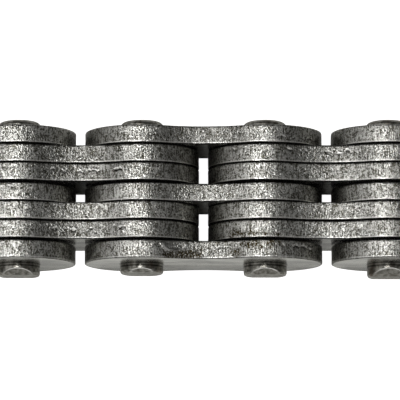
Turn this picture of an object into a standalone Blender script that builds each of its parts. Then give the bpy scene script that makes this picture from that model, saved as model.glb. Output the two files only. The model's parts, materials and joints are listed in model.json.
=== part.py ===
"""One foot of riveted leaf chain with 3 x 4 lacing, 31.75 mm pitch, lying straight on its plate edges.

X runs along the chain, Y along the pins and Z up. The floor is z = 0 and the origin is under the middle.
Nine links take turns: a pin link has three plates riveted to two pins, and a plate link has four plates
that turn on the pins of its neighbours.
"""

import math

import bmesh
import bpy

MM = 0.001

# Driving sizes, in metres
PITCH = 31.75 * MM
PLATE_HEIGHT = 29.4 * MM
WAIST_HEIGHT = 23.2 * MM
PLATE_THICKNESS = 4.65 * MM
PIN_DIAMETER = 11.11 * MM
PIN_LENGTH = 40.2 * MM
FRONT_FACE_DIAMETER = 9.8 * MM
FRONT_ROUNDING = 1.0 * MM
FRONT_FLAT_LENGTH = 1.5 * MM
FRONT_FLAT_SLOPE = math.radians(41)
RIVET_FACE_DIAMETER = 7.2 * MM
RIVET_ROUNDING = 1.25 * MM
BORE_CLEARANCE = 0.02 * MM
LINKS = 9

# The lacing from the back row to the front row (A on pin links, B on plate links), the names of each
# kind's plates in that order, and the play between each row and the next
LACING = "ABBABBA"
PLATE_NAMES = {
    "A": ("outer_plate_back", "middle_plate", "outer_plate_front"),
    "B": ("inner_plate_1", "inner_plate_2", "inner_plate_3", "inner_plate_4"),
}
ROW_PLAY = tuple(play * MM for play in (0.25, 0.10, 0.55, 0.10, 0.20, 0.45))

# How finely the round shapes are cut
BORE_SIDES = 24
LOBE_STEPS = 18
LOBE_SHOULDER_STEPS = 2
WAIST_STEPS = 6
ROUNDING_STEPS = 3
SHARP_ANGLE = math.radians(30)

# Linear colours and roughness of the two steels
PLATE_COLOUR = (0.105, 0.105, 0.098)
PLATE_ROUGHNESS = 0.5
PIN_COLOUR = (0.085, 0.072, 0.058)
PIN_ROUGHNESS = 0.4

LOBE_RADIUS = PLATE_HEIGHT / 2
PIN_RADIUS = PIN_DIAMETER / 2
BORE_RADIUS = (PIN_RADIUS + BORE_CLEARANCE) / math.cos(math.pi / BORE_SIDES)


def clear_scene():
    """Remove whatever objects the file holds."""
    for thing in list(bpy.data.objects):
        bpy.data.objects.remove(thing, do_unlink=True)


def steel(name, colour, roughness):
    """A Principled steel of one colour."""
    material = bpy.data.materials.new(name)
    material.use_nodes = True
    shader = material.node_tree.nodes["Principled BSDF"]
    shader.inputs["Base Color"].default_value = (*colour, 1.0)
    shader.inputs["Metallic"].default_value = 1.0
    shader.inputs["Roughness"].default_value = roughness
    return material


def pin_x(number):
    """The place along X of pin 1 to LINKS + 1."""
    return (number - 1 - LINKS / 2) * PITCH


def row_places():
    """The middle of each row along Y, back row first, with the whole stack centred on y = 0."""
    stack = len(LACING) * PLATE_THICKNESS + sum(ROW_PLAY)
    places = [(stack - PLATE_THICKNESS) / 2]
    for play in ROW_PLAY:
        places.append(places[-1] - PLATE_THICKNESS - play)
    return places


def arc(centre, radius, start, end, steps):
    """Points (x, z) along an arc from one angle to another, without its last point."""
    angles = [start + (end - start) * step / steps for step in range(steps)]
    return [(centre[0] + radius * math.cos(a), centre[1] + radius * math.sin(a)) for a in angles]


def plate_outline():
    """A figure of eight: round lobes about the two pins, joined by hollow waist arcs that meet them smoothly.

    One side is the right lobe and the upper waist. The other is the same side turned by half a turn.
    """
    half_pitch, half_waist = PITCH / 2, WAIST_HEIGHT / 2
    waist_radius = (half_pitch**2 + half_waist**2 - LOBE_RADIUS**2) / (2 * (LOBE_RADIUS - half_waist))
    rise = half_waist + waist_radius
    lean = math.atan2(rise, -half_pitch)
    quarter = math.pi / 2
    lobe, above = (half_pitch, 0.0), (0.0, rise)
    side = [
        *arc(lobe, LOBE_RADIUS, -lean, -quarter, LOBE_SHOULDER_STEPS),
        *arc(lobe, LOBE_RADIUS, -quarter, quarter, LOBE_STEPS),
        *arc(lobe, LOBE_RADIUS, quarter, lean, LOBE_SHOULDER_STEPS),
        *arc(above, waist_radius, lean - math.pi, -lean, WAIST_STEPS),
    ]
    return side + [(-x, -z) for x, z in side]


def finish_mesh(bm, name, material):
    """Turn a closed bmesh into a mesh with its faces outwards and its round faces smooth."""
    bmesh.ops.recalc_face_normals(bm, faces=bm.faces)
    mesh = bpy.data.meshes.new(name)
    bm.to_mesh(mesh)
    bm.free()
    mesh.shade_smooth()
    mesh.set_sharp_from_angle(angle=SHARP_ANGLE)
    mesh.materials.append(material)
    return mesh


def plate_mesh(material):
    """A link plate: the outline with its two bores, filled and extruded through the thickness."""
    half_pitch = PITCH / 2
    loops = [plate_outline()]
    loops += [arc((x, 0.0), BORE_RADIUS, 0.0, math.tau, BORE_SIDES) for x in (-half_pitch, half_pitch)]
    bm = bmesh.new()
    edges = []
    for loop in loops:
        ring = [bm.verts.new((x, -PLATE_THICKNESS / 2, z)) for x, z in loop]
        edges += [bm.edges.new((a, b)) for a, b in zip(ring, ring[1:] + ring[:1])]
    bmesh.ops.triangle_fill(bm, use_beauty=True, edges=edges, normal=(0.0, -1.0, 0.0))
    back = bmesh.ops.extrude_face_region(bm, geom=list(bm.faces))["geom"]
    moved = [part for part in back if isinstance(part, bmesh.types.BMVert)]
    bmesh.ops.translate(bm, verts=moved, vec=(0.0, PLATE_THICKNESS, 0.0))
    return finish_mesh(bm, "link_plate", material)


def pin_end(face_diameter, rounding):
    """Points (radius, depth) from the rim of an end's flat face to the full pin, along a quarter of an ellipse."""
    face = face_diameter / 2
    turns = [math.pi / 2 * step / ROUNDING_STEPS for step in range(ROUNDING_STEPS + 1)]
    return [(face + (PIN_RADIUS - face) * math.sin(t), rounding * (1 - math.cos(t))) for t in turns]


def strike_flat(bm, side):
    """Cut the sloping flat that the riveting tool leaves on a pin's front end, on its upper (1) or lower (-1) side."""
    start = (0.0, FRONT_FLAT_LENGTH - PIN_LENGTH / 2, side * PIN_RADIUS)
    outwards = (0.0, -math.sin(FRONT_FLAT_SLOPE), side * math.cos(FRONT_FLAT_SLOPE))
    everything = [*bm.verts, *bm.edges, *bm.faces]
    cut = bmesh.ops.bisect_plane(bm, geom=everything, plane_co=start, plane_no=outwards, clear_outer=True)
    rim = [part for part in cut["geom_cut"] if isinstance(part, bmesh.types.BMEdge)]
    bmesh.ops.edgenet_fill(bm, edges=rim)


def pin_mesh(material):
    """A pin with its corners rounded in front and its rivet head at the back: half its profile, spun about Y."""
    end = PIN_LENGTH / 2
    front = pin_end(FRONT_FACE_DIAMETER, FRONT_ROUNDING)
    head = pin_end(RIVET_FACE_DIAMETER, RIVET_ROUNDING)
    profile = [
        (0.0, -end),
        *((radius, depth - end) for radius, depth in front),
        *((radius, end - depth) for radius, depth in reversed(head)),
        (0.0, end),
    ]
    bm = bmesh.new()
    line = [bm.verts.new((radius, along, 0.0)) for radius, along in profile]
    edges = [bm.edges.new(pair) for pair in zip(line, line[1:])]
    bmesh.ops.spin(
        bm,
        geom=line + edges,
        cent=(0.0, 0.0, 0.0),
        axis=(0.0, 1.0, 0.0),
        angle=math.tau,
        steps=BORE_SIDES,
        use_merge=True,
    )
    bmesh.ops.remove_doubles(bm, verts=bm.verts, dist=0.001 * MM)
    for side in (1, -1):
        strike_flat(bm, side)
    return finish_mesh(bm, "riveted_pin", material)


def add(name, data, parent, place):
    """An object of a mesh, or an empty, at a place in its parent's own space."""
    thing = bpy.data.objects.new(name, data)
    bpy.context.collection.objects.link(thing)
    thing.parent = parent
    thing.location = place
    return thing


def add_link(number, kind, frame, plate, pin):
    """One link's plates in their rows, and for a pin link its two pins, on an empty at its first pin."""
    rows = [place for place, row_kind in zip(row_places(), LACING) if row_kind == kind]
    for name, place in zip(PLATE_NAMES[kind], rows):
        add(f"link{number}_{name}", plate, frame, (PITCH / 2, place, 0.0))
    if kind == "A":
        for end in (0, 1):
            add(f"pin_{number + end}", pin, frame, (end * PITCH, 0.0, 0.0))


def build():
    """The whole length of chain, each link hung on the one before it, so that a turned link takes the rest along."""
    clear_scene()
    plate = plate_mesh(steel("oiled_plate_steel", PLATE_COLOUR, PLATE_ROUGHNESS))
    pin = pin_mesh(steel("hardened_pin_steel", PIN_COLOUR, PIN_ROUGHNESS))
    frame, place = None, (pin_x(1), 0.0, LOBE_RADIUS)
    for number in range(1, LINKS + 1):
        frame = add(f"link_{number}", None, frame, place)
        add_link(number, "A" if number % 2 else "B", frame, plate, pin)
        place = (PITCH, 0.0, 0.0)


build()
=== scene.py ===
"""The finish of one foot of riveted leaf chain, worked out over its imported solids.

Every punched plate and every riveted pin is built again as a fine surface in the place of its solid: the
plates with their rounded rims, punching marks and torn places, the pins with their struck ends. Lengths are
in metres.
"""

import json
import math

import bpy
import numpy as np
from bpy.props import FloatProperty, FloatVectorProperty, IntProperty, PointerProperty
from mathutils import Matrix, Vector


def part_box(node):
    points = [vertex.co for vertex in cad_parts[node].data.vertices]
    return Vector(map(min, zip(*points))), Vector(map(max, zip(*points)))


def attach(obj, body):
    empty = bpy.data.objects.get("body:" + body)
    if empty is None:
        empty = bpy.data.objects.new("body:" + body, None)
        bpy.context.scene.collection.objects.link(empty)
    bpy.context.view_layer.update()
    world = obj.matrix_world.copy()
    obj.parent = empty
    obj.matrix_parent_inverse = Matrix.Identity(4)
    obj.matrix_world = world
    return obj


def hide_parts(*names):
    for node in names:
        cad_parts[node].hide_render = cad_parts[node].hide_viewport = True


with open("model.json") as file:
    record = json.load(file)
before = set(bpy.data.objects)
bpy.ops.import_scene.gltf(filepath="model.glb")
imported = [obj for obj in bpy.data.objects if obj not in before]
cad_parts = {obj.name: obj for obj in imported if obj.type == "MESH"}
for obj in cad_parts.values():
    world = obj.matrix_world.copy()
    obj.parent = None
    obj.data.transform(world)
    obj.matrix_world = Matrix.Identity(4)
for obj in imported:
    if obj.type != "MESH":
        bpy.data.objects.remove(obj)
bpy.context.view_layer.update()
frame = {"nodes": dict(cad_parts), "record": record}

bl_info = {
    "name": "Leaf Chain Length",
    "version": (1, 0, 0),
    "blender": (4, 5, 0),
    "location": "View3D > Sidebar > Leaf Chain",
    "description": "Punched plates, riveted pins and the stage of a length of leaf chain",
    "category": "Object",
}

MM = 0.001
EDGE_SLOT, FACE_SLOT = 0, 1
SHARP_ANGLE = math.radians(38)

# Where the photograph shows the punched edge torn. Each line of torn flakes says how strongly, how far
# through the thickness from the front face as a share of it, and from where to where along X from the
# plate's middle, in millimetres
TORN = {
    "link3_middle_plate": ((0.6, 0.72, 12.5, 16.5),),
    "link4_inner_plate_1": ((0.7, 0.18, -5.0, 6.0),),
    "link4_inner_plate_2": ((1.0, 0.67, -8.0, 11.5), (0.7, 0.52, -4.0, 6.0), (0.7, 0.7, -18.5, -15.5)),
    "link4_inner_plate_4": ((0.9, 0.6, -7.0, 12.5), (0.7, 0.48, -4.0, 5.0)),
    "link5_outer_plate_back": ((0.7, 0.35, 20.0, 27.5),),
    "link5_middle_plate": ((0.6, 0.16, -21.0, -16.0),),
    "link5_outer_plate_front": ((0.8, 0.57, 2.6, 6.2), (1.0, 0.66, 19.0, 27.0), (0.8, 0.7, -26.5, -24.7)),
    "link6_inner_plate_1": ((0.9, 0.7, -10.0, 5.0), (0.7, 0.55, -3.0, 3.0), (0.6, 0.76, -25.0, -20.0)),
    "link6_inner_plate_2": ((0.5, 0.75, 0.5, 5.0),),
}

# Every other plate has one torn line. These are the range of its strength, the two places through the
# thickness to choose from, and the ranges of its middle and of half its length along X, in millimetres
TORN_ELSEWHERE = (0.1, 0.8)
TORN_PLACES_ELSEWHERE = (0.22, 0.66)
TORN_MIDDLE_ELSEWHERE = (-8, 8)
TORN_REACH_ELSEWHERE = (2, 9)

# How much oil dulls the waist of the plates that the photograph shows, from 0 to 1, and of the others
DULL_WAIST = {
    "link4_inner_plate_1": 0.45,
    "link4_inner_plate_2": 0.45,
    "link4_inner_plate_3": 0.12,
    "link4_inner_plate_4": 0.4,
    "link5_outer_plate_back": 0.42,
    "link5_middle_plate": 0.12,
    "link5_outer_plate_front": 0.25,
    "link6_inner_plate_1": 0.35,
    "link6_inner_plate_2": 0.2,
    "link6_inner_plate_3": 0.1,
    "link6_inner_plate_4": 0.05,
}
DULL_ELSEWHERE = (0.1, 0.4)

# Brown oil stains: the place along X and along Y from the plate's middle, and the reach, in millimetres
STAINS = {
    "link5_outer_plate_front": (
        (-9.4, -1.6, 0.9),
        (-8.2, -1.5, 1.3),
        (-6.6, -1.5, 1.5),
        (-5.0, -1.6, 1.7),
        (-3.4, -1.5, 1.8),
        (-1.6, -1.3, 1.4),
        (5.6, 1.9, 0.6),
        (8.2, -1.0, 1.4),
        (9.7, 1.1, 0.8),
        (11.2, 0.9, 1.0),
        (12.9, 1.3, 1.2),
        (14.4, 0.4, 0.6),
        (16.9, 1.3, 1.4),
        (19.3, 1.5, 0.6),
        (21.4, -1.3, 0.5),
    ),
    "link6_inner_plate_4": (
        (-24.4, -1.4, 1.1),
        (-22.9, -1.2, 1.0),
        (-21.6, -1.5, 1.1),
        (-20.3, -1.1, 1.0),
        (-18.8, -1.4, 0.8),
        (-16.0, -1.6, 0.7),
        (-13.0, -1.5, 0.7),
    ),
}

# A scar on the plate that the photograph shows best: place along X and Y from the plate's middle, half length
# and half width, in millimetres
SCARRED_PLATE = "link5_outer_plate_front"
SCAR_PLACE = (-7.4, 1.6)
SCAR_REACH = (2.95, 1.92)

# How much longer in front than their solids some pins are in the photograph, and the range for the others, in
# millimetres
PIN_PROUD = {"pin_5": -0.55, "pin_6": -0.1, "pin_7": 0.4}
PROUD_ELSEWHERE = (-0.2, 0.1)

# The softboxes: how far each leans from straight up towards +X and towards +Y, in degrees, its distance, and
# its width and length
SOFTBOXES = {
    "key": ((-11, 7), 2.4, (0.27, 0.8)),
    "side": ((-52, 5), 2.0, (2.0, 1.6)),
    "right": ((44, 5), 2.0, (1.6, 1.6)),
    "front": ((0, -48), 2.0, (3.6, 1.4)),
}

# Half the floor's side, the point that the camera looks at, how far the camera sees, and the width of its
# sensor in millimetres
FLOOR_REACH = 4.0
AIM = Vector((-0.9 * MM, -0.26 * MM, 14.7 * MM))
VIEW_REACH = 20
SENSOR_WIDTH = 36


def linear(code):
    """Linear colour of an sRGB hex code.

    A channel c is c / 12.92 up to 0.04045, and past it ((c + 0.055) / 1.055) ^ 2.4.
    """
    channels = [int(code[place : place + 2], 16) / 255 for place in (1, 3, 5)]
    return tuple(c / 12.92 if c <= 0.04045 else ((c + 0.055) / 1.055) ** 2.4 for c in channels)


def length(name, description, default):
    """A length that a user can change."""
    return FloatProperty(name=name, description=description, default=default, unit="LENGTH", precision=5)


def slope(name, description, degrees):
    """An angle that a user can change."""
    return FloatProperty(name=name, description=description, default=math.radians(degrees), unit="ROTATION")


def radiance(name, description, default):
    """The strength of a light that a user can change."""
    return FloatProperty(name=name, description=description, default=default)


def colour(name, description, code):
    """A colour that a user can change."""
    return FloatVectorProperty(name=name, description=description, default=linear(code), subtype="COLOR")


class PlateSizes(bpy.types.PropertyGroup):
    """The punched plate's own sizes; its length, height and thickness come from its solid."""

    waist_height: length("Waist height", "Height of the plate in the middle", 23.2 * MM)
    bore: length("Bore", "Diameter of the holes for the pins", 11.2 * MM)
    bore_chamfer: length("Bore chamfer", "Broken edge of the holes", 0.2 * MM)
    front_rim: length("Front rim", "Rounding that the punch rolls over on the front face", 0.3 * MM)
    back_rim: length("Back rim", "Rounding of the tumbled burr on the back face", 0.36 * MM)
    step: length("Step", "Spacing of the surface's points", 0.3 * MM)
    sway: length("Sway", "Depth of the slow unevenness of the edge", 0.03 * MM)
    streak: length("Streak", "Depth of the streaks that the punch drags through the thickness", 0.016 * MM)
    pit: length("Pit", "Depth of the peened pits", 0.01 * MM)
    tear: length("Tear", "Depth of the torn places", 0.15 * MM)
    scar: length("Scar", "Depth of the scar", 0.08 * MM)


class PinSizes(bpy.types.PropertyGroup):
    """The riveted pin's own sizes; its length and diameter come from its solid."""

    front_face: length("Front face", "Diameter of the front end's face", 10.1 * MM)
    front_rounding: length("Front rounding", "Reach of the front end's rounding along the pin", 0.8 * MM)
    flat_length: length("Flat length", "How far from the end the struck flats start", 1.45 * MM)
    flat_slope: slope("Flat slope", "Slope of the struck flats", 52.6)
    flat_edge: length("Flat edge", "How softly the struck flats meet the round", 0.06 * MM)
    # The ring is painted dark, and the grooves at the plates take oil and painted shade
    dark_ring: length("Collar", "How far from the plate a ring of old oil stands on the pin", 0.72 * MM)
    head_face: length("Head face", "Diameter of the rivet head's face", 7.2 * MM)
    head_rounding: length("Head rounding", "Reach of the rivet head's rounding along the pin", 1.25 * MM)
    columns: IntProperty(name="Columns", description="Points round the pin", default=108, min=12)


class SteelColours(bpy.types.PropertyGroup):
    """Colours of the two steels and of the oil on them."""

    edge_dark: colour("Edge, hollows", "Heat-treated skin and oil in hollows of the punched edge", "#55534A")
    edge_light: colour("Edge, peaks", "Bare steel on the rubbed peaks of the punched edge", "#CECDC8")
    # This colour also paints the highlight on the front rims and along the border of the pins' struck flats
    edge_bare: colour("Edge, bare", "Bright steel of rolled-over rims and torn places", "#EBEAE5")
    face_dark: colour("Face, dark", "Rolled face where oil lies on it", "#9C9B97")
    face_light: colour("Face, light", "Rolled face where it is rubbed clean", "#DFDED9")
    pin_dark: colour("Pin, dark", "Pin steel under old oil", "#6A6861")
    pin_light: colour("Pin, light", "Pin steel where it is bare", "#AAA8A1")
    pin_brown: colour("Pin, brown", "Burnt oil on the pins", "#62574C")
    stain: colour("Stain", "Dried brown oil", "#38311F")
    # This colour also paints shade in the grooves at the rims, at the foot of the torn flakes and where the
    # pins meet the plates
    oil_and_shade: colour("Oil", "Black oil and dirt in the grooves between the plates", "#1C1A15")


class StageSettings(bpy.types.PropertyGroup):
    """The camera's place and the strength of the lights."""

    distance: length("Distance", "From the camera to the point that it looks at", 0.857)
    tilt: slope("Tilt", "How far the camera leans from straight down", 8.5)
    lens: FloatProperty(name="Focal length", description="Of the lens, in millimetres", default=298.8)
    key: radiance("Key light", "Radiance of the softbox above", 21.5)
    side: radiance("Side light", "Radiance of the softbox at the left", 0.7)
    right: radiance("Right light", "Radiance of the softbox at the right", 0.12)
    front: radiance("Front light", "Radiance of the softbox in front", 1.2)
    room: radiance("Room", "Radiance of the rest of the room", 0.09)


class ChainSettings(bpy.types.PropertyGroup):
    """Everything that the sidebar shows."""

    plate: PointerProperty(type=PlateSizes)
    pin: PointerProperty(type=PinSizes)
    steel: PointerProperty(type=SteelColours)
    stage: PointerProperty(type=StageSettings)


def add_node(tree, kind, inputs=(), output=0, **settings):
    """Add a shader node with its settings and give one of its outputs.

    Each input is fed by another node's output or set to a value.
    """
    made = tree.nodes.new(kind)
    for name, value in settings.items():
        setattr(made, name, value)
    for key, value in dict(inputs).items():
        if isinstance(value, bpy.types.NodeSocket):
            tree.links.new(value, made.inputs[key])
        else:
            made.inputs[key].default_value = value
    return made.outputs[output]


def metal(name, roughness):
    """A bare metal material, its tree and its shader, with nothing else in it yet."""
    material = bpy.data.materials.new(name)
    material.use_nodes = True
    shader = material.node_tree.nodes["Principled BSDF"]
    shader.inputs["Metallic"].default_value = 1.0
    shader.inputs["Roughness"].default_value = roughness
    return material, material.node_tree, shader


def rgba(value):
    """A colour property as the four numbers that a socket takes."""
    return (*value, 1.0)


def peened_edge_steel(colours):
    """Carbon steel punched, hardened and shot peened, under chain oil.

    The eye gets fine bright glints on peaks among oily pits, drawn out through the thickness by the punch,
    and smooth bright metal in the torn places. The rolled-over rims are painted smooth and bright, partly
    bare metal and partly a painted highlight, and painted shade darkens the grooves at the rims and the foot
    of the torn flakes.
    """
    grain, fine, streak, blotch, chip = 0.38 * MM, 0.22 * MM, 0.33 * MM, 1.5 * MM, 0.24 * MM
    drawn_out, streak_drawn_out = 0.75, 0.13
    streak_weight, blotch_weight, crest_lift = 0.55, 0.35, 0.03
    relief, bare_relief, crest_relief = 0.089 * MM, 0.25, 0.93
    rough_hollow, rough_crest, rough_chip = 0.32, 0.275, 0.08
    material, tree, shader = metal("peened_edge_steel", rough_hollow)
    place = add_node(tree, "ShaderNodeTexCoord", output="Object")
    torn = add_node(tree, "ShaderNodeAttribute", output="Fac", attribute_name="torn")
    # Bare metal, with the painted highlight on the front rims
    rim = add_node(tree, "ShaderNodeAttribute", output="Fac", attribute_name="bare")
    worn = add_node(tree, "ShaderNodeAttribute", output="Fac", attribute_name="worn")
    stain = add_node(tree, "ShaderNodeAttribute", output="Fac", attribute_name="stain")
    # Oil, with painted shade in the grooves at the rims and at the foot of the torn flakes
    oil_and_shade = add_node(tree, "ShaderNodeAttribute", output="Fac", attribute_name="oil_and_shade")

    # Peaks and hollows of the peened skin
    drawn = add_node(tree, "ShaderNodeMapping", {"Vector": place, "Scale": (1, drawn_out, 1)})
    coarse = add_node(tree, "ShaderNodeTexNoise", {"Vector": drawn, "Scale": 1 / grain, "Detail": 0.0})
    specks = add_node(tree, "ShaderNodeTexNoise", {"Vector": drawn, "Scale": 1 / fine, "Detail": 0.0})
    both = add_node(tree, "ShaderNodeMath", {0: coarse, 1: specks}, operation="ADD")

    # How light the skin is: its peaks, and the streaks and blotches over them
    long = add_node(tree, "ShaderNodeMapping", {"Vector": place, "Scale": (1, streak_drawn_out, 1)})
    streaks = add_node(tree, "ShaderNodeTexNoise", {"Vector": long, "Scale": 1 / streak, "Detail": 1.0})
    swing = {"Value": streaks, "To Min": -streak_weight, "To Max": streak_weight}
    swing = add_node(tree, "ShaderNodeMapRange", swing)
    shade = add_node(tree, "ShaderNodeMath", {0: both, 1: swing}, operation="ADD")
    blotches = add_node(tree, "ShaderNodeTexNoise", {"Vector": place, "Scale": 1 / blotch, "Detail": 1.0})
    swing = {"Value": blotches, "To Min": -blotch_weight, "To Max": blotch_weight}
    swing = add_node(tree, "ShaderNodeMapRange", swing)
    shade = add_node(tree, "ShaderNodeMath", {0: shade, 1: swing}, operation="ADD")
    lifted = {0: worn, 1: crest_lift, 2: shade}
    shade = add_node(tree, "ShaderNodeMath", lifted, operation="MULTIPLY_ADD")
    peak = add_node(tree, "ShaderNodeMapRange", {"Value": shade, "From Min": 0.7, "From Max": 1.3})

    # Bare chips in the torn places, and the rims painted bright, partly bare metal and partly a painted
    # highlight
    chips = add_node(tree, "ShaderNodeTexNoise", {"Vector": place, "Scale": 1 / chip, "Detail": 1.0})
    chips = add_node(tree, "ShaderNodeMath", {0: chips, 1: torn}, operation="MULTIPLY")
    chips = add_node(tree, "ShaderNodeMapRange", {"Value": chips, "From Min": 0.32, "From Max": 0.42})
    bare = add_node(tree, "ShaderNodeMath", {0: chips, 1: rim}, operation="MAXIMUM")

    # Gloss and relief: rubbed crests are smoother, and bare metal is nearly flat
    gloss = {"Value": worn, "To Min": rough_hollow, "To Max": rough_crest}
    gloss = add_node(tree, "ShaderNodeMapRange", gloss)
    gloss = {0: chips, 1: rough_chip, 2: gloss}
    gloss = add_node(tree, "ShaderNodeMath", gloss, operation="MULTIPLY_ADD")
    rough = add_node(tree, "ShaderNodeMapRange", {"Value": bare, "To Min": 1.0, "To Max": bare_relief})
    calm = add_node(tree, "ShaderNodeMapRange", {"Value": worn, "To Min": 1.0, "To Max": crest_relief})
    rough = add_node(tree, "ShaderNodeMath", {0: rough, 1: calm}, operation="MULTIPLY")
    bump = add_node(tree, "ShaderNodeBump", {"Height": both, "Distance": relief, "Strength": rough})

    # Skin, bare metal and painted highlight, brown stains in the hollows, and black oil and painted shade
    # wherever no metal is bare
    skin = {0: peak, 6: rgba(colours.edge_dark), 7: rgba(colours.edge_light)}
    steel = add_node(tree, "ShaderNodeMix", skin, output=2, data_type="RGBA")
    bright = {0: bare, 6: steel, 7: rgba(colours.edge_bare)}
    steel = add_node(tree, "ShaderNodeMix", bright, output=2, data_type="RGBA")
    hollow = {"Value": both, "From Min": 0.9, "From Max": 1.25, "To Min": 1.0, "To Max": 0.4}
    hollow = add_node(tree, "ShaderNodeMapRange", hollow)
    pooled = add_node(tree, "ShaderNodeMath", {0: stain, 1: hollow}, operation="MULTIPLY")
    brown = {0: pooled, 6: steel, 7: rgba(colours.stain)}
    steel = add_node(tree, "ShaderNodeMix", brown, output=2, data_type="RGBA")
    kept = add_node(tree, "ShaderNodeMath", {0: 1.0, 1: bare}, operation="SUBTRACT")
    oil_and_shade = add_node(tree, "ShaderNodeMath", {0: oil_and_shade, 1: kept}, operation="MULTIPLY")
    black = {0: oil_and_shade, 6: steel, 7: rgba(colours.oil_and_shade)}
    steel = add_node(tree, "ShaderNodeMix", black, output=2, data_type="RGBA")
    tree.links.new(steel, shader.inputs["Base Color"])
    tree.links.new(gloss, shader.inputs["Roughness"])
    tree.links.new(bump, shader.inputs["Normal"])
    return material


def rolled_face_steel(colours):
    """Cold-rolled, hardened and tumbled plate steel.

    The eye gets a smooth satin grey with slow clouds, fine scratches along the chain and a few oily nicks.
    """
    scratch, cloud, nick = 0.35 * MM, 4.5 * MM, 1.1 * MM
    drawn_out, cloud_drawn_out, nick_drawn_out = 0.06, 0.4, 0.45
    relief, oil_in_nicks, roughness = 0.015 * MM, 0.8, 0.24
    material, tree, shader = metal("rolled_face_steel", roughness)
    place = add_node(tree, "ShaderNodeTexCoord", output="Object")
    drawn = add_node(tree, "ShaderNodeMapping", {"Vector": place, "Scale": (drawn_out, 1, 1)})
    scratches = add_node(tree, "ShaderNodeTexNoise", {"Vector": drawn, "Scale": 1 / scratch, "Detail": 3.0})
    long = add_node(tree, "ShaderNodeMapping", {"Vector": place, "Scale": (cloud_drawn_out, 1, 1)})
    clouds = add_node(tree, "ShaderNodeTexNoise", {"Vector": long, "Scale": 1 / cloud, "Detail": 3.0})
    both = add_node(tree, "ShaderNodeMath", {0: scratches, 1: clouds}, operation="ADD")
    rubbed = add_node(tree, "ShaderNodeMapRange", {"Value": both, "From Min": 0.8, "From Max": 1.2})
    skin = {0: rubbed, 6: rgba(colours.face_dark), 7: rgba(colours.face_light)}
    steel = add_node(tree, "ShaderNodeMix", skin, output=2, data_type="RGBA")
    short = add_node(tree, "ShaderNodeMapping", {"Vector": place, "Scale": (nick_drawn_out, 1, 1)})
    nicks = add_node(tree, "ShaderNodeTexNoise", {"Vector": short, "Scale": 1 / nick, "Detail": 1.0})
    nicks = {"Value": nicks, "From Min": 0.69, "From Max": 0.75, "To Max": oil_in_nicks}
    nicks = add_node(tree, "ShaderNodeMapRange", nicks)
    black = {0: nicks, 6: steel, 7: rgba(colours.oil_and_shade)}
    steel = add_node(tree, "ShaderNodeMix", black, output=2, data_type="RGBA")
    bump = add_node(tree, "ShaderNodeBump", {"Height": scratches, "Distance": relief, "Strength": 1.0})
    tree.links.new(steel, shader.inputs["Base Color"])
    tree.links.new(bump, shader.inputs["Normal"])
    return material


def riveted_pin_steel(colours):
    """Case-hardened round bar, ground and riveted over.

    The eye gets a smooth steel darker than the plates, browned here and there, dull where the riveting tool
    struck it, bright along the border of the struck flats, partly bare metal and partly a painted highlight,
    and dark with oil and painted shade where it meets the plates.
    """
    mottle, brown_patch, grain = 0.9 * MM, 3.5 * MM, 0.3 * MM
    rough_round, rough_struck = 0.28, 0.42
    relief, most_brown = 0.02 * MM, 0.8
    material, tree, shader = metal("riveted_pin_steel", rough_round)
    place = add_node(tree, "ShaderNodeTexCoord", output="Object")
    oil_and_shade = add_node(tree, "ShaderNodeAttribute", output="Fac", attribute_name="oil_and_shade")
    ridge = add_node(tree, "ShaderNodeAttribute", output="Fac", attribute_name="bare")
    struck = add_node(tree, "ShaderNodeAttribute", output="Fac", attribute_name="struck")
    mottles = add_node(tree, "ShaderNodeTexNoise", {"Vector": place, "Scale": 1 / mottle, "Detail": 3.0})
    patches = add_node(tree, "ShaderNodeTexNoise", {"Vector": place, "Scale": 1 / brown_patch})
    specks = add_node(tree, "ShaderNodeTexNoise", {"Vector": place, "Scale": 1 / grain, "Detail": 0.0})
    bare = add_node(tree, "ShaderNodeMapRange", {"Value": mottles, "From Min": 0.35, "From Max": 0.65})
    skin = {0: bare, 6: rgba(colours.pin_dark), 7: rgba(colours.pin_light)}
    steel = add_node(tree, "ShaderNodeMix", skin, output=2, data_type="RGBA")
    burnt = {"Value": patches, "From Min": 0.52, "From Max": 0.68, "To Max": most_brown}
    burnt = add_node(tree, "ShaderNodeMapRange", burnt)
    brown = {0: burnt, 6: steel, 7: rgba(colours.pin_brown)}
    steel = add_node(tree, "ShaderNodeMix", brown, output=2, data_type="RGBA")
    # Oil colour: oil and painted shade where the pins meet the plates, and a dark ring
    black = {0: oil_and_shade, 6: steel, 7: rgba(colours.oil_and_shade)}
    steel = add_node(tree, "ShaderNodeMix", black, output=2, data_type="RGBA")
    # Bright line along the flats' border: bare metal and a painted highlight
    bright = {0: ridge, 6: steel, 7: rgba(colours.edge_bare)}
    steel = add_node(tree, "ShaderNodeMix", bright, output=2, data_type="RGBA")
    gloss = {"Value": struck, "To Min": rough_round, "To Max": rough_struck}
    gloss = add_node(tree, "ShaderNodeMapRange", gloss)
    bump = add_node(tree, "ShaderNodeBump", {"Height": specks, "Distance": relief, "Strength": 1.0})
    tree.links.new(steel, shader.inputs["Base Color"])
    tree.links.new(gloss, shader.inputs["Roughness"])
    tree.links.new(bump, shader.inputs["Normal"])
    return material


def bell(places, middle, reach):
    """A bell curve, 1 in the middle: e to the power of minus the square of the distance over the reach."""
    return np.exp(-(((places - middle) / reach) ** 2))


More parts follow.
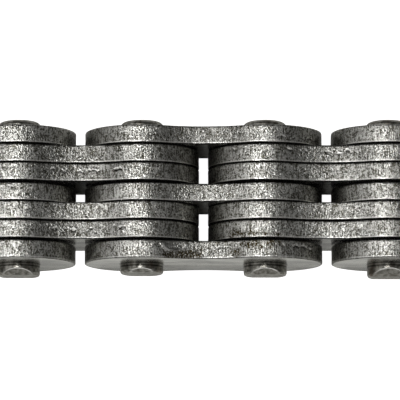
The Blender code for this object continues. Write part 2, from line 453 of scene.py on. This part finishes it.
def lattice_noise(rng, across, along, cells_across, cells_along, faceted=False):
    """Random heights from -1 to 1 over a surface that closes on itself.

    Random numbers stand on a lattice that is closed along the first direction. Between two neighbours the
    height goes over from one to the other with the weight 3 t^2 - 2 t^3, or along a straight line where the
    surface is faceted. Both places run from 0 to 1.
    """
    lattice = rng.uniform(-1, 1, (cells_across, cells_along + 1))
    a, b = across * cells_across, np.clip(along, 0, 1) * cells_along
    column = np.floor(a).astype(int)
    row = np.minimum(np.floor(b).astype(int), cells_along - 1)
    s, t = a - column, b - row
    if not faceted:
        s, t = s * s * (3 - 2 * s), t * t * (3 - 2 * t)
    here, there = column % cells_across, (column + 1) % cells_across
    near = lattice[here, row] * (1 - s) + lattice[there, row] * s
    far = lattice[here, row + 1] * (1 - s) + lattice[there, row + 1] * s
    return near * (1 - t) + far * t


def plate_outline(half_pitch, lobe, half_waist, step):
    """Points and outward directions (x, z) round the plate's figure of eight, and how many a waist has.

    Each lobe is a circle about its bore. Each waist is an arc, hollow side out, that meets both lobes
    smoothly, so its centre stands off by the length that makes the two radii and the centres' distance one
    straight line.
    """
    waist = (half_pitch**2 + half_waist**2 - lobe**2) / (2 * (lobe - half_waist))
    rise = half_waist + waist
    lean = math.atan2(rise, -half_pitch)
    lobe_points = round(2 * lean * lobe / step)
    waist_points = 2 * round((2 * lean - math.pi) * waist / step / 2)
    round_lobe = np.linspace(-lean, lean, lobe_points, endpoint=False)
    round_waist = np.linspace(lean - math.pi, -lean, waist_points, endpoint=False)
    lobe_out = np.stack([np.cos(round_lobe), np.sin(round_lobe)], 1)
    waist_out = -np.stack([np.cos(round_waist), np.sin(round_waist)], 1)
    side = np.concatenate([(half_pitch, 0) + lobe * lobe_out, (0, rise) - waist * waist_out])
    out = np.concatenate([lobe_out, waist_out])
    return np.concatenate([side, -side]), np.concatenate([out, -out]), waist_points


def edge_section(half, front_rim, back_rim, step):
    """How far inwards and where along Y the punched edge lies, from the front face to the back one.

    A quarter circle rounds each rim, and between them the edge runs straight through the thickness.
    """
    front_steps, back_steps = 4, 2
    front = np.linspace(0, math.pi / 2, front_steps, endpoint=False)
    back = np.linspace(math.pi / 2, 0, back_steps + 1)
    run_steps = round((2 * half - front_rim - back_rim) / step)
    run = np.linspace(front_rim - half, half - back_rim, run_steps, endpoint=False)
    inwards = np.concatenate([front_rim * (1 - np.sin(front)), 0 * run, back_rim * (1 - np.sin(back))])
    rims = front_rim * (1 - np.cos(front)) - half, half - back_rim * (1 - np.cos(back))
    return inwards, np.concatenate([rims[0], run, rims[1]])


def torn_line(noise, x, through, thick, strength, place, start, end):
    """The flakes along one torn line and the hollow at their foot, each from 0 to 1; lengths in millimetres.

    The line strays through the thickness. Its teeth are random facets, cut off at 0 and 1 and fading out
    past both ends of the line. A flake reaches from the line towards the back face as far as its tooth is
    high, and the hollow lies in front of the line.
    """
    stray_cell, flake_cell, tooth_cell, group_cell, whole = 5, 0.8, 0.5, 2.5, 5
    stray_slowly, stray_by_flake = 0.04, 0.13
    fill, vary_by_flake, vary_slowly = 0.4, 1.8, 0.5
    fade, flake_depth, soft_tip, soft_root = 2, 0.8, 0.25, 0.15
    foot_fill, foot_place, foot_soft = 1.3, 0.3, 0.25
    line = place + stray_slowly * noise(stray_cell, whole)
    line = line + stray_by_flake * noise(flake_cell, whole, faceted=True)
    within = np.clip(1 + np.minimum(x - start, end - x) / fade, 0, 1)
    teeth = fill + vary_by_flake * noise(tooth_cell, whole, faceted=True)
    teeth = teeth + vary_slowly * noise(group_cell, whole)
    teeth = strength * within * np.clip(teeth, 0, 1)
    behind = (through - line) * thick
    tip = np.clip((flake_depth * teeth - behind) / soft_tip, 0, 1)
    root = np.clip(1 + behind / soft_root, 0, 1)
    foot = teeth * np.clip(foot_fill - np.abs(behind + foot_place) / foot_soft, 0, 1)
    return tip * root, foot


def torn_elsewhere(rng):
    """The torn lines of a plate that the photograph doesn't show closely, as in TORN."""
    middle, reach = rng.uniform(*TORN_MIDDLE_ELSEWHERE), rng.uniform(*TORN_REACH_ELSEWHERE)
    strength, place = rng.uniform(*TORN_ELSEWHERE), rng.choice(TORN_PLACES_ELSEWHERE)
    return ((strength, place, middle - reach, middle + reach),)


def waist_oil(name, rng, x, crest):
    """How far oil dulls the waist of a plate, from 0 to 1: all over, and more where it rises to the lobes."""
    all_over, flank_place, flank_reach, left_flank, right_flank = 0.65, 9, 2.5, 0.45, 0.75
    dull = DULL_WAIST.get(name, rng.uniform(*DULL_ELSEWHERE))
    flank = bell(np.abs(x), flank_place, flank_reach) * np.where(x > 0, right_flank, left_flank)
    return dull * (1 - crest) * (all_over + flank)


def scar_marks(x, y):
    """How far places lie from the scar's middle, its hollow and its lip, each as a share.

    The scar is an ellipse. Its depth goes with the square root of the way in from its border, and the lip is
    a bell curve along the border of its front half.
    """
    lip_place, lip_reach, lip_height, lip_rise = 1.02, 0.15, 0.9, 0.05
    along, through = (x - SCAR_PLACE[0]) / SCAR_REACH[0], (y - SCAR_PLACE[1]) / SCAR_REACH[1]
    far = np.hypot(along, through)
    hollow = np.clip(1 - far, 0, 1) ** 0.5
    lip = bell(far, lip_place, lip_reach) * (through < 0) * (lip_height + lip_rise * along)
    return far, hollow, lip


def edge_relief(name, rng, outline, along, half, sizes):
    """How far the punched edge stands out from its plain shape, in metres, and its attributes.

    It is the sum of a slow sway, streaks that run through the thickness, peened pits, ragged lines of torn
    flakes, and the scar. The attributes say where the edge is bare, torn, oily and worn, and where painted
    shadow darkens the hollow at the foot of the torn flakes; 0 is not at all.
    """
    sway_cell, streak_cell, pit_cell = (6, 3), (0.9, 2.4), (0.8, 0.9)
    around = len(outline)
    x, z, y = outline[None, :, 0] / MM, np.abs(outline[None, :, 1]), along[:, None] / MM
    across = (np.arange(around) / around)[None, :]
    through = ((along + half) / (2 * half))[:, None]
    thick = 2 * half / MM

    def noise(wide, deep, faceted=False):
        """Random heights on cells of that width round the edge and depth through it, in millimetres."""
        cells = round(around * sizes.step / (wide * MM)), max(1, round(thick / deep))
        return lattice_noise(rng, across, through, *cells, faceted)

    height = sizes.sway * noise(*sway_cell) + sizes.streak * noise(*streak_cell)
    height = height + sizes.pit * noise(*pit_cell)
    flake, foot = 0 * height, 0 * height
    for line in TORN.get(name) or torn_elsewhere(rng):
        line_flake, line_foot = torn_line(noise, x, through, thick, *line)
        flake = np.maximum(flake, line_flake)
        foot = np.maximum(foot, line_foot)
    # The oil colour paints the shadow in the hollow at the flakes' foot
    flake_height, foot_painted_shadow = 0.8, 0.9
    height = height + sizes.tear * (flake_height * flake - foot)
    half_waist = sizes.waist_height / 2
    crest = np.clip((z - half_waist) / (z.max() - half_waist), 0, 1) ** 2
    oil_and_shade = foot_painted_shadow * foot + waist_oil(name, rng, x, crest)
    bare = 0 * height
    if name == SCARRED_PLATE:
        least_relief, lip_stands, scar_bare, lip_bare, scar_oil, border = 0.2, 2.6, 0.2, 1.1, 0.3, 4
        far, hollow, lip = scar_marks(x, y)
        inside = np.clip(border * hollow, 0, 1)
        height = height * np.clip(far, least_relief, 1) + sizes.scar * (lip_stands * lip - hollow)
        bare = np.maximum(scar_bare * inside, lip_bare * lip)
        oil_and_shade = oil_and_shade + scar_oil * inside
    return height, {"bare": bare, "torn": flake, "oil_and_shade": oil_and_shade, "worn": crest + 0 * through}


def rim_marks(kind, inwards, along, half, sizes):
    """How bright the rolled-over front rim is painted, partly bare burnished metal and partly a painted
    highlight, and how dark the grooves at both rims are painted, with oil and painted shade, from 0 to 1.

    The outermost faces of the chain stand open, so the back one has no dark groove and the front one only a
    fainter line of painted shade than between two plates.
    """
    most_bare_and_highlight, steepness, open_painted_shade, rim_end = 0.75, 12, 0.6, -0.1
    beyond = (along + half - sizes.front_rim) / sizes.step
    # The front rim is painted brighter: partly bare burnished metal, partly a painted highlight
    rolled = np.where(beyond < rim_end, 0, np.clip(1 - beyond, 0, most_bare_and_highlight)) * (along < 0)
    # Dark grooves at both rims: oil and painted shade between two plates, painted shade alone on the open
    # front face
    front = np.clip(steepness * inwards / sizes.front_rim, 0, 1) * (along < 0)
    front = front * (open_painted_shade if kind == "outer_plate_front" else 1)
    back = np.clip(steepness * inwards / sizes.back_rim, 0, 1) * (along > 0) * (kind != "outer_plate_back")
    return rolled[:, None], (front + back)[:, None]


def stain_marks(name, places, ragged):
    """How strongly brown oil stains the upper side of a plate, from 0 to 1, at places from its middle."""
    strength, reach_out = 1.6, 1.2
    stain = np.zeros(len(places))
    for x, y, reach in STAINS.get(name, ()):
        far = np.hypot(places[:, 0] / MM - x, places[:, 1] / MM - y) / reach
        stain = np.maximum(stain, np.clip(strength * (reach_out - far + ragged), 0, 1) * (places[:, 2] > 0))
    return stain


def ring_faces(grid, turned=False):
    """Four-sided faces between neighbouring rows of a grid of point numbers, each row a closed ring."""
    after = np.roll(grid, -1, axis=1)
    corners = (grid[:-1], grid[1:], after[1:], after[:-1])
    if turned:
        corners = (grid[:-1], after[:-1], after[1:], grid[1:])
    return np.stack([corner.ravel() for corner in corners], 1)


def plate_surface(name, rng, sizes):
    """The points, faces, material numbers and attributes of one plate.

    The edge is the section carried round the outline. The rest is two sleeves, one for each bore: rings that
    go from the front face's rim in to the bore, through it, and out over the back face to its rim.
    """
    low, high = (np.array(corner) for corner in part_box(name))
    middle, size = (low + high) / 2, high - low
    half, lobe = size[1] / 2, size[2] / 2
    half_pitch = size[0] / 2 - lobe
    outline, out, waist_points = plate_outline(half_pitch, lobe, sizes.waist_height / 2, sizes.step)
    inwards, along = edge_section(half, sizes.front_rim, sizes.back_rim, sizes.step)
    height, state = edge_relief(name, rng, outline, along, half, sizes)
    fade = np.clip(np.minimum(along + half, half - along) / sizes.front_rim, 0, 1)[:, None]
    stand = height * fade - inwards[:, None]
    rings, around = stand.shape
    edge = np.empty((rings, around, 3))
    edge[..., 0] = outline[:, 0] + stand * out[:, 0]
    edge[..., 1] = along[:, None]
    edge[..., 2] = outline[:, 1] + stand * out[:, 1]
    numbers = np.arange(rings * around).reshape(rings, around)
    faces = [ring_faces(numbers)]
    points = [edge.reshape(-1, 3)]
    count = rings * around

    # A line of points over the middle of each face, which both sleeves share
    top = around // 2 - waist_points // 2
    bottom = around - waist_points // 2
    centre_points = round(sizes.waist_height / (3 * sizes.step))
    spots = np.linspace(edge[0, top, 2], edge[0, bottom, 2], centre_points + 2)[1:-1]
    centre = []
    for side in (-half, half):
        line = np.stack([0 * spots, np.full_like(spots, side), spots], 1)
        centre.append(np.arange(count, count + len(line)))
        points.append(line)
        count += len(line)

    # The sleeves: the rim's points seen from the bore give the directions of the rings' points
    placed = np.concatenate(points)
    bore, chamfer = sizes.bore / 2, sizes.bore_chamfer
    halves = (
        (half_pitch, np.arange(bottom - around, top + 1) % around, 1),
        (-half_pitch, np.arange(top, bottom + 1), -1),
    )
    for bore_x, arc, way in halves:
        front = np.concatenate([numbers[0, arc], centre[0][::way]])
        back = np.concatenate([numbers[-1, arc], centre[1][::way]])
        rim = placed[front][:, [0, 2]]
        turn = np.arctan2(rim[:, 1], rim[:, 0] - bore_x)
        ray = np.stack([np.cos(turn), np.sin(turn)], 1)
        mouth = (bore_x, 0) + (bore + chamfer) * ray
        wall = (bore_x, 0) + bore * ray
        sleeve = [front]
        for flat, level in ((mouth, -half), (wall, chamfer - half), (wall, half - chamfer), (mouth, half)):
            points.append(np.stack([flat[:, 0], np.full(len(flat), level), flat[:, 1]], 1))
            sleeve.append(np.arange(count, count + len(flat)))
            count += len(flat)
        faces.append(ring_faces(np.stack([*sleeve, back]), turned=True))
    slots = [np.full(len(part), FACE_SLOT if k else EDGE_SLOT) for k, part in enumerate(faces)]

    # The attributes are 0 on the sleeves, apart from the stains, which the faces' material doesn't read
    # The front rim's painted highlight joins the bare marks, and the grooves' oil and painted shade join the
    # oil marks
    rolled, grooves = rim_marks(name.split("_", 1)[1], inwards, along, half, sizes)
    state["bare"] = np.maximum(state["bare"], rolled)
    state["oil_and_shade"] = np.maximum(state["oil_and_shade"], grooves)
    ragged, cells_round, cells_through = 0.45, 260, 9
    places = (np.arange(around) / around)[None, :], ((along + half) / (2 * half))[:, None]
    state["ragged"] = ragged * lattice_noise(rng, *places, cells_round, cells_through)
    rest = np.zeros(count - rings * around)
    attributes = {key: np.concatenate([values.ravel(), rest]) for key, values in state.items()}
    placed = np.concatenate(points)
    attributes["stain"] = stain_marks(name, placed, attributes.pop("ragged"))
    return placed + middle, np.concatenate(faces), np.concatenate(slots), attributes


def rounded(radius, depth, face, reach):
    """Radius at a depth from the end, along a quarter of an ellipse from the face to the full radius."""
    left = 1 - np.clip(depth / reach, 0, 1)
    return face / 2 + (radius - face / 2) * np.sqrt(1 - left**2)


def struck_end(radius, depth, turn, flat_length, sizes):
    """Radii of the front end, how bright its ridge is painted, and how far each point lies past the flats'
    border.

    The radius stays below the rounding and below the two struck flats, at height over the sine of the angle.
    The two meet in a soft minimum: the rounding less the logarithm of 1 + e to the power of what it stands
    over the flat, in units of the edge's softness. The ridge is a bell curve along their border, painted
    bright as bare metal and a painted highlight.
    """
    least_sine, most_bare_and_highlight, ridge_reach, clear = 0.1, 0.8, 0.12 * MM, 20
    front = rounded(radius, depth, sizes.front_face, sizes.front_rounding) * np.ones_like(turn)
    flat = radius - (flat_length - depth) * math.tan(sizes.flat_slope)
    flat = flat / np.maximum(np.abs(np.sin(turn)), least_sine)
    ridge = most_bare_and_highlight * bell(front - flat, 0, ridge_reach)
    apart = (front - flat) / sizes.flat_edge
    soft = front - sizes.flat_edge * np.log1p(np.exp(np.minimum(apart, clear)))
    return np.where(apart > clear, flat, soft), ridge, apart


def pin_surface(name, rng, sizes):
    """The points, faces and attributes of one riveted pin.

    The radius is a function of the angle and of the depth from the end: struck flats in front, a plain
    shaft, and a quarter of an ellipse round the rivet head, with small random dents at both ends. Rows of
    points stand close together where the painted darkening changes, on both sides of the plates.
    """
    front_rows, past_flats, front_crowding = 20, 1.25, 1.2
    head_rows, head_crowding = 8, 1.6
    inner = np.array([0.12, 0.35, 0.6, 0.82])
    dent, dent_reach, dents_round, dents_along = 0.015 * MM, 2.5 * MM, 14, 60
    groove_reach, ring_reach, oil_film_and_shade = 0.15, 0.26, 0.3
    low, high = (np.array(corner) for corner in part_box(name))
    proud = PIN_PROUD.get(name, rng.uniform(*PROUD_ELSEWHERE)) * MM
    middle, size = (low + high) / 2, high - low
    radius, end = size[2] / 2, size[1] / 2
    front_end, flat_length = -end - proud, sizes.flat_length + proud
    turn = np.arange(sizes.columns) / sizes.columns * math.tau
    stack_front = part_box("link5_outer_plate_front")[0].y - middle[1]
    stack_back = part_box("link5_outer_plate_back")[1].y - middle[1]
    collar_rows = sizes.dark_ring * np.array([1.45, 1.2, 1.0, 0.8, 0.6, 0.3, 0.0, -0.3])

    # Radii and places of the rows, from the front face to the rivet head's face
    depth = flat_length * np.linspace(0, past_flats, front_rows) ** front_crowding
    depth = np.concatenate([depth, stack_front - front_end - collar_rows])[:, None]
    front, ridge, apart = struck_end(radius, depth, turn, flat_length, sizes)
    shaft_rows = stack_back + collar_rows[::-1]
    shaft = np.full((len(shaft_rows), len(turn)), radius)
    head_depth = sizes.head_rounding * np.linspace(1, 0, head_rows) ** head_crowding
    head = rounded(radius, head_depth[:, None], sizes.head_face, sizes.head_rounding) * np.ones_like(turn)
    radii = np.concatenate([inner[:, None] * front[0], front, shaft, head, inner[::-1, None] * head[-1]])
    flat_front, flat_back = np.full(len(inner), front_end), np.full(len(inner), end)
    along = np.concatenate([flat_front, depth[:, 0] + front_end, shaft_rows, end - head_depth, flat_back])
    places = (turn / math.tau)[None, :], ((along + end) / (2 * end))[:, None]
    dents = lattice_noise(rng, *places, dents_round, dents_along)
    dress = np.clip(1 - (np.minimum(along + end, end - along) / dent_reach)[:, None], 0, 1)
    radii = radii + dent * dents * dress
    level = np.broadcast_to(along[:, None], radii.shape)
    points = np.stack([radii * np.cos(turn), level, radii * np.sin(turn)], 2)

    # Rings of faces, and a fan round the middle of each end
    numbers = np.arange(radii.size).reshape(radii.shape)
    after = np.roll(numbers, -1, axis=1)
    poles = np.array([[0, front_end, 0], [0, end, 0]])
    first, last = np.full(sizes.columns, radii.size), np.full(sizes.columns, radii.size + 1)
    faces = ring_faces(numbers).tolist()
    faces += np.stack([first, numbers[0], after[0]], 1).tolist()
    faces += np.stack([last, after[-1], numbers[-1]], 1).tolist()

    # Darkening: oil and painted shade in the grooves where the pins meet the plates, a dark ring round each
    # end, and a fainter darkening between, partly oil film and partly painted shade
    away = np.maximum(stack_front - along, along - stack_back) / sizes.dark_ring
    dirt_and_shade = np.minimum(bell(away, 0, groove_reach) + bell(away, 1, ring_reach), 1)
    dirt_and_shade = np.maximum(oil_film_and_shade * (away < 1), dirt_and_shade)
    struck, rubbed = np.zeros(radii.shape), np.zeros(radii.shape)
    front_part = slice(len(inner), len(inner) + len(depth))
    struck[: len(inner)] = 1
    struck[front_part] = np.clip(0.5 + apart, 0, 1)
    # The ridge's bright line is partly bare metal, partly a painted highlight
    rubbed[front_part] = ridge
    attributes = {
        "bare": np.concatenate([rubbed.ravel(), [0, 0]]),
        "oil_and_shade": np.concatenate([np.repeat(dirt_and_shade, sizes.columns), [0, 0]]),
        "struck": np.concatenate([struck.ravel(), [1, 0]]),
    }
    return np.concatenate([points.reshape(-1, 3), poles]) + middle, faces, attributes


def make_piece(name, points, faces, materials, slots=None, attributes=None):
    """A smooth shaded object of a surface, with its attributes on its points."""
    mesh = bpy.data.meshes.new(name)
    mesh.from_pydata(points.tolist(), [], faces if isinstance(faces, list) else faces.tolist())
    for material in materials:
        mesh.materials.append(material)
    if slots is not None:
        mesh.polygons.foreach_set("material_index", slots.astype(np.int32))
    for key, values in (attributes or {}).items():
        mesh.attributes.new(key, "FLOAT", "POINT").data.foreach_set("value", values.astype(np.float32))
    mesh.shade_smooth()
    mesh.set_sharp_from_angle(angle=SHARP_ANGLE)
    mesh.update()
    piece = bpy.data.objects.new(name, mesh)
    bpy.context.collection.objects.link(piece)
    return piece


def material_named(name, make, settings):
    """The material of that name, made the first time it is asked for."""
    return bpy.data.materials.get(name) or make(settings.steel)


def body_of(node):
    """The body that a node belongs to."""
    return next(body for body, members in frame["record"]["behaviour"]["bodies"].items() if node in members)


def dress_plates(kinds):
    """Build every plate whose name ends in one of the kinds, each with a surface of its own."""
    settings = bpy.context.scene.leaf_chain
    edge = material_named("peened_edge_steel", peened_edge_steel, settings)
    face = material_named("rolled_face_steel", rolled_face_steel, settings)
    names = sorted(frame["nodes"])
    chosen = [name for name in names if name.split("_", 1)[1] in kinds]
    if not chosen:
        raise RuntimeError(f"the frame has no plates of the kinds {kinds}")
    for name in chosen:
        rng = np.random.default_rng(names.index(name))
        points, faces, slots, attributes = plate_surface(name, rng, settings.plate)
        piece = make_piece(f"{name}_peened", points, faces, (edge, face), slots, attributes)
        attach(piece, body_of(name))
        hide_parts(name)


class CHAIN_OT_pin_link_plates(bpy.types.Operator):
    """Build the outer and middle plates of the pin links."""

    bl_idname = "chain.pin_link_plates"
    bl_label = "Pin link plates"

    def execute(self, context):
        dress_plates(("outer_plate_back", "middle_plate", "outer_plate_front"))
        return {"FINISHED"}


class CHAIN_OT_plate_link_plates(bpy.types.Operator):
    """Build the inner plates, four to each plate link."""

    bl_idname = "chain.plate_link_plates"
    bl_label = "Plate link plates"

    def execute(self, context):
        dress_plates(tuple(f"inner_plate_{number}" for number in range(1, 5)))
        return {"FINISHED"}


class CHAIN_OT_riveted_pins(bpy.types.Operator):
    """Build the riveted pins."""

    bl_idname = "chain.riveted_pins"
    bl_label = "Riveted pins"
    first_seed = 100

    def execute(self, context):
        settings = context.scene.leaf_chain
        steel = material_named("riveted_pin_steel", riveted_pin_steel, settings)
        names = sorted(name for name in frame["nodes"] if name.startswith("pin_"))
        if not names:
            raise RuntimeError("the frame has no pins")
        for number, name in enumerate(names):
            rng = np.random.default_rng(self.first_seed + number)
            points, faces, attributes = pin_surface(name, rng, settings.pin)
            piece = make_piece(f"{name}_riveted", points, faces, (steel,), attributes=attributes)
            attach(piece, body_of(name))
            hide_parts(name)
        return {"FINISHED"}


def add_softbox(name, angles, distance, size, strength):
    """A soft area light that looks at the origin.

    Its angles are how far it leans from straight up towards +X and towards +Y, and its power follows from the
    radiance that a mirror would show, over its whole area.
    """
    lean_x, lean_y = (math.radians(angle) for angle in angles)
    towards = Vector((math.tan(lean_x), math.tan(lean_y), 1)).normalized()
    light = bpy.data.lights.new(name, "AREA")
    light.shape = "RECTANGLE"
    light.size, light.size_y = size
    light.energy = strength * math.pi * size[0] * size[1]
    lamp = bpy.data.objects.new(name, light)
    bpy.context.collection.objects.link(lamp)
    lamp.location = towards * distance
    lamp.rotation_euler = towards.to_track_quat("Z", "Y").to_euler()
    return lamp


def white_paper():
    """White paper that also glows, to the camera alone, so that it shows no shadow, as in a catalogue."""
    material = bpy.data.materials.new("white_paper")
    material.use_nodes = True
    tree = material.node_tree
    shader = tree.nodes["Principled BSDF"]
    shader.inputs["Base Color"].default_value = (0.8, 0.8, 0.77, 1)
    shader.inputs["Roughness"].default_value = 0.9
    shader.inputs["Emission Color"].default_value = (1, 1, 1, 1)
    seen = add_node(tree, "ShaderNodeLightPath", output="Is Camera Ray")
    tree.links.new(seen, shader.inputs["Emission Strength"])
    return material


def light_room(scene, strength):
    """A dim room all round, which the camera sees as the same white as the floor."""
    scene.world = scene.world or bpy.data.worlds.new("room")
    scene.world.use_nodes = True
    tree = scene.world.node_tree
    seen = add_node(tree, "ShaderNodeLightPath", output="Is Camera Ray")
    glow = add_node(tree, "ShaderNodeMapRange", {"Value": seen, "To Min": strength, "To Max": 1.0})
    background = tree.nodes["Background"]
    background.inputs["Color"].default_value = (1, 1, 1, 1)
    tree.links.new(glow, background.inputs["Strength"])


class CHAIN_OT_stage(bpy.types.Operator):
    """Build the white paper floor, the soft lights, the room and the camera."""

    bl_idname = "chain.stage"
    bl_label = "Stage"

    def execute(self, context):
        stage = context.scene.leaf_chain.stage
        corners = FLOOR_REACH * np.array([[-1, -1, 0], [1, -1, 0], [1, 1, 0], [-1, 1, 0]])
        make_piece("paper_floor", corners, [[0, 1, 2, 3]], (white_paper(),))
        for name, (angles, distance, size) in SOFTBOXES.items():
            add_softbox(f"{name}_softbox", angles, distance, size, getattr(stage, name))
        light_room(context.scene, stage.room)
        camera = bpy.data.objects.new("camera", bpy.data.cameras.new("camera"))
        bpy.context.collection.objects.link(camera)
        camera.data.sensor_width = SENSOR_WIDTH
        camera.data.lens = stage.lens
        camera.data.clip_end = VIEW_REACH
        camera.location = AIM + stage.distance * Vector((0, -math.sin(stage.tilt), math.cos(stage.tilt)))
        camera.rotation_euler = (stage.tilt, 0, 0)
        context.scene.camera = camera
        context.scene.view_settings.view_transform = "Standard"
        return {"FINISHED"}


OPERATORS = (CHAIN_OT_stage, CHAIN_OT_pin_link_plates, CHAIN_OT_plate_link_plates, CHAIN_OT_riveted_pins)


class CHAIN_PT_sidebar(bpy.types.Panel):
    """The chain's operators and settings."""

    bl_idname = "CHAIN_PT_sidebar"
    bl_label = "Leaf Chain"
    bl_space_type = "VIEW_3D"
    bl_region_type = "UI"
    bl_category = "Leaf Chain"

    def draw(self, context):
        settings = context.scene.leaf_chain
        for operator in OPERATORS:
            self.layout.operator(operator.bl_idname)
        for group in (settings.plate, settings.pin, settings.steel, settings.stage):
            box = self.layout.box()
            for key in type(group).__annotations__:
                box.prop(group, key)


SETTINGS = (PlateSizes, PinSizes, SteelColours, StageSettings, ChainSettings)
CLASSES = (*SETTINGS, *OPERATORS, CHAIN_PT_sidebar)


def register():
    for cls in CLASSES:
        bpy.utils.register_class(cls)
    bpy.types.Scene.leaf_chain = PointerProperty(type=ChainSettings)


def unregister():
    del bpy.types.Scene.leaf_chain
    for cls in reversed(CLASSES):
        bpy.utils.unregister_class(cls)


def main():
    """Build everything in order."""
    register()
    for operator in OPERATORS:
        group, name = operator.bl_idname.split(".")
        getattr(getattr(bpy.ops, group), name)()


if __name__ == "__main__":
    main()
